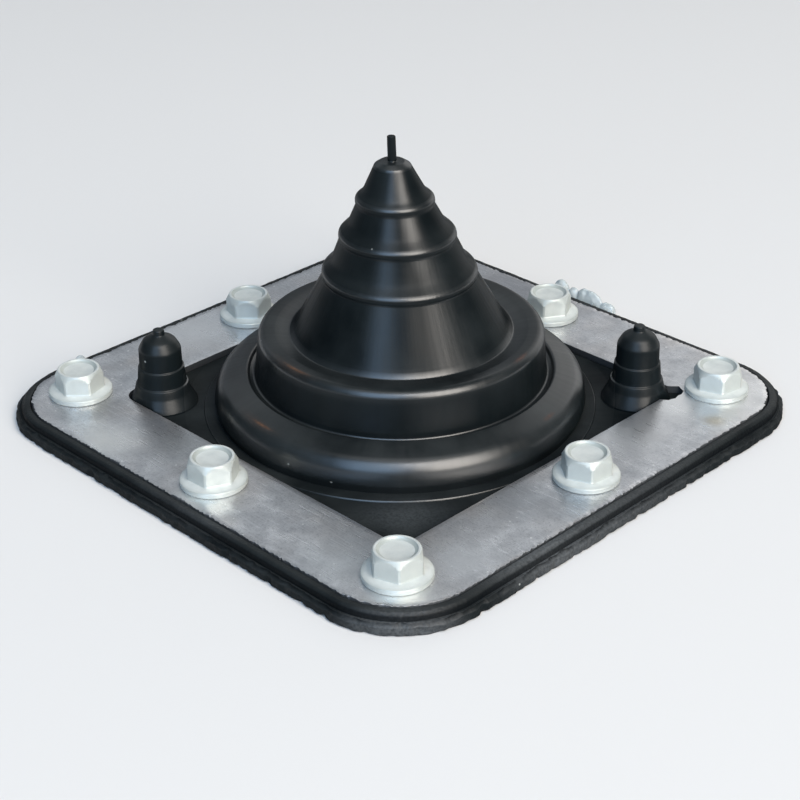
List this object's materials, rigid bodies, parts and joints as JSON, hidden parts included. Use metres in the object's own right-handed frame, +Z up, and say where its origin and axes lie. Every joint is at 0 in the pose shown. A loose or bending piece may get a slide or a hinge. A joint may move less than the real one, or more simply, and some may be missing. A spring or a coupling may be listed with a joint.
{
  "type": "pipe flashing boot",
  "caption": "Square moulded rubber pipe boot with an uncut stepped cone and small cable cones, clamped by a flat aluminium frame and hex flange roofing screws.",
  "frame": {"origin": "on the axis of the stepped cone, in the plane of the base's underside, which is the roof's surface", "axes": "+Z up along the pipe, away from the roof; +X and +Y along the sides of the square base"},
  "size_m": [0.1135, 0.1141, 0.0708],
  "materials": {
    "epdm_rubber": "moulded black EPDM rubber, satin, lightly dusted",
    "aluminium_plate": "mill finish aluminium sheet, scuffed and lightly stained",
    "zinc_plated_steel": "pale matt zinc plated steel",
    "clear_silicone": "cured clear silicone, glassy lumps"
  },
  "bodies": {
    "root": {"rubber_boot": "epdm_rubber", "base_frame": "aluminium_plate", "corner_screw_1": "zinc_plated_steel", "corner_screw_2": "zinc_plated_steel", "corner_screw_3": "zinc_plated_steel", "corner_screw_4": "zinc_plated_steel", "side_screw_1": "zinc_plated_steel", "side_screw_2": "zinc_plated_steel", "side_screw_3": "zinc_plated_steel", "side_screw_4": "zinc_plated_steel", "sealant_squeeze": "clear_silicone", "sealant_dab": "clear_silicone"}
  },
  "joints": []
}
